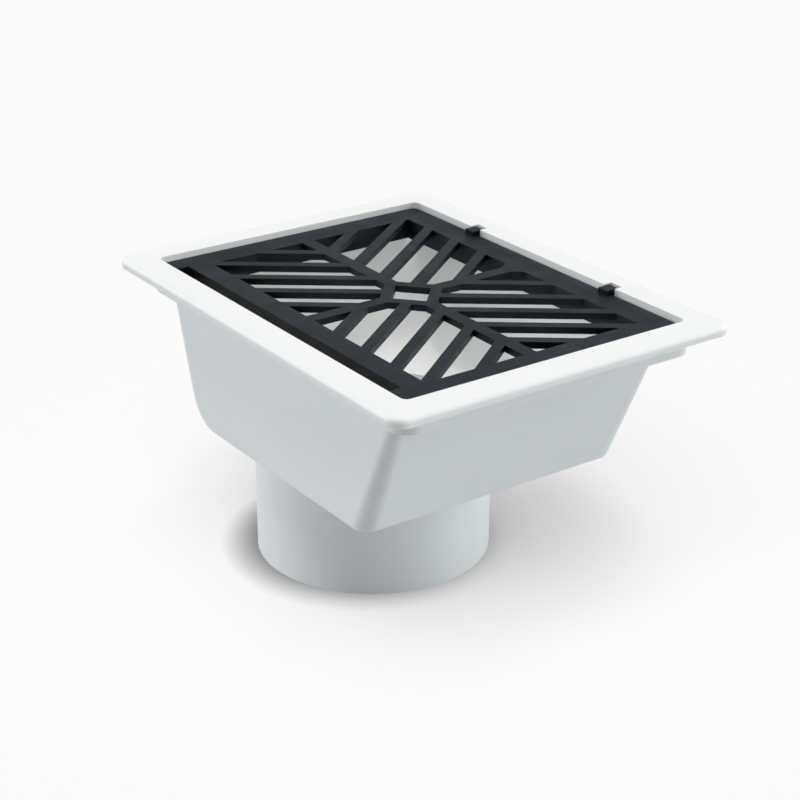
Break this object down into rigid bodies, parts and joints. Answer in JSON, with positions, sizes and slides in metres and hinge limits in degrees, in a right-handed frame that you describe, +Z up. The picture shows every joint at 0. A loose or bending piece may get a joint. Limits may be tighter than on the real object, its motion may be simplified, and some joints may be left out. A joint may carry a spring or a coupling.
{
  "type": "floor drain",
  "caption": "Floor drain: rectangular plastic hopper with a flat rim, sloping walls and an offset round outlet spigot, covered by a dark slanted-bar grate that tips up on lugs.",
  "frame": {"origin": "on the outlet spigot's axis, at its open lower end", "axes": "+Z up along the spigot, +X along the rim's long side from the spigot towards the sloping front wall, +Y towards the grate's lugs"},
  "size_m": [0.223, 0.172, 0.136],
  "materials": {
    "hopper_plastic": "smooth white moulded plastic, softly shiny",
    "grate_plastic": "dark slate moulded plastic, satin"
  },
  "bodies": {
    "hopper": {"hopper_body": "hopper_plastic"},
    "grate": {"grate": "grate_plastic"}
  },
  "joints": [
    {"name": "grate_tip", "type": "hinge", "parent": "hopper", "child": "grate", "pos_m": [0.0305, 0.074, 0.134], "axis": [-1, 0, 0], "range_deg": [0, 95]}
  ]
}
